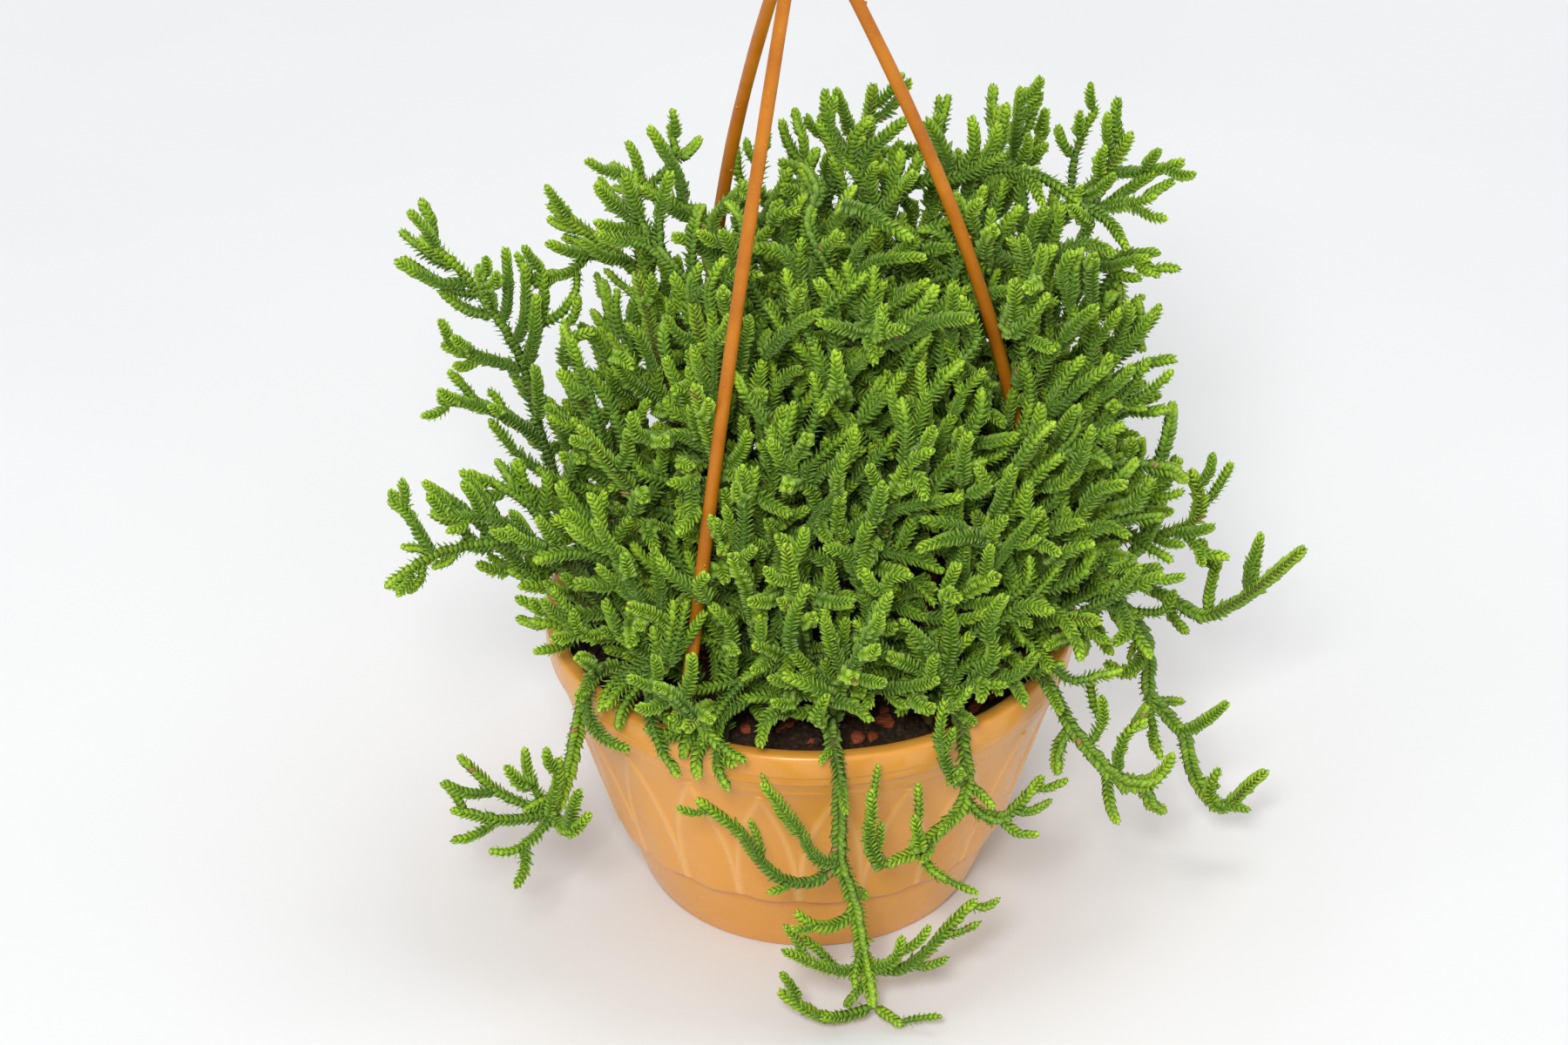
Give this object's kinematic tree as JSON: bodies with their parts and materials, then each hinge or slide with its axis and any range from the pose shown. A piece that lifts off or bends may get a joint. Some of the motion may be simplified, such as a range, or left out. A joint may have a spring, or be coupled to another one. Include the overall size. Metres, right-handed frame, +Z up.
{
  "type": "potted crassula",
  "caption": "Watch-chain crassula, a bushy succulent with scale-leaved upright and trailing stems, in a round plastic hanging pot with its clip-on hanger.",
  "frame": {"origin": "centre of the pot's flat underside, on the surface that the pot stands on", "axes": "+Z up along the pot's axis, -Y is the front seen in the picture, +X to the right"},
  "size_m": [0.3455, 0.2648, 0.4714],
  "materials": {
    "pot_plastic": "glossy moulded terracotta-orange plastic with a soft embossed leaf pattern",
    "hanger_plastic": "semi-gloss moulded orange-brown plastic",
    "potting_soil": "dark, crumbly, moist peat with small bark pieces",
    "bark": "rough red-brown bark",
    "foliage": "satin fleshy scale leaves, yellow-green at the tips and bluish green below"
  },
  "bodies": {
    "root": {"bark_chip_1": "bark", "bark_chip_2": "bark", "bark_chip_3": "bark", "bark_chip_4": "bark", "bark_chip_5": "bark", "bark_chip_6": "bark", "hanger_hook": "hanger_plastic", "hanger_leg_back": "hanger_plastic", "hanger_leg_front_left": "hanger_plastic", "hanger_leg_right": "hanger_plastic", "pot": "pot_plastic", "soil": "potting_soil", "stem_dome_01": "foliage", "stem_dome_02": "foliage", "stem_dome_03": "foliage", "stem_dome_04": "foliage", "stem_dome_05": "foliage", "stem_dome_06": "foliage", "stem_dome_07": "foliage", "stem_dome_08": "foliage", "stem_dome_09": "foliage", "stem_dome_10": "foliage", "stem_dome_11": "foliage", "stem_dome_12": "foliage", "stem_dome_13": "foliage", "stem_dome_14": "foliage", "stem_dome_15": "foliage", "stem_dome_16": "foliage", "stem_dome_17": "foliage", "stem_dome_18": "foliage", "stem_dome_19": "foliage", "stem_dome_20": "foliage", "stem_dome_21": "foliage", "stem_dome_22": "foliage", "stem_dome_23": "foliage", "stem_dome_24": "foliage", "stem_dome_25": "foliage", "stem_dome_26": "foliage", "stem_dome_27": "foliage", "stem_far_right": "foliage", "stem_front_crown": "foliage", "stem_front_right_trail": "foliage", "stem_front_trail": "foliage", "stem_left_arm": "foliage", "stem_left_low": "foliage", "stem_left_spray": "foliage", "stem_left_tall": "foliage", "stem_right_fork": "foliage", "stem_right_low": "foliage", "stem_right_trail": "foliage", "stem_right_upper": "foliage", "stem_tall_right": "foliage", "stem_top_centre": "foliage", "stem_top_left": "foliage", "stem_top_left_high": "foliage", "stem_top_right": "foliage"}
  },
  "joints": []
}
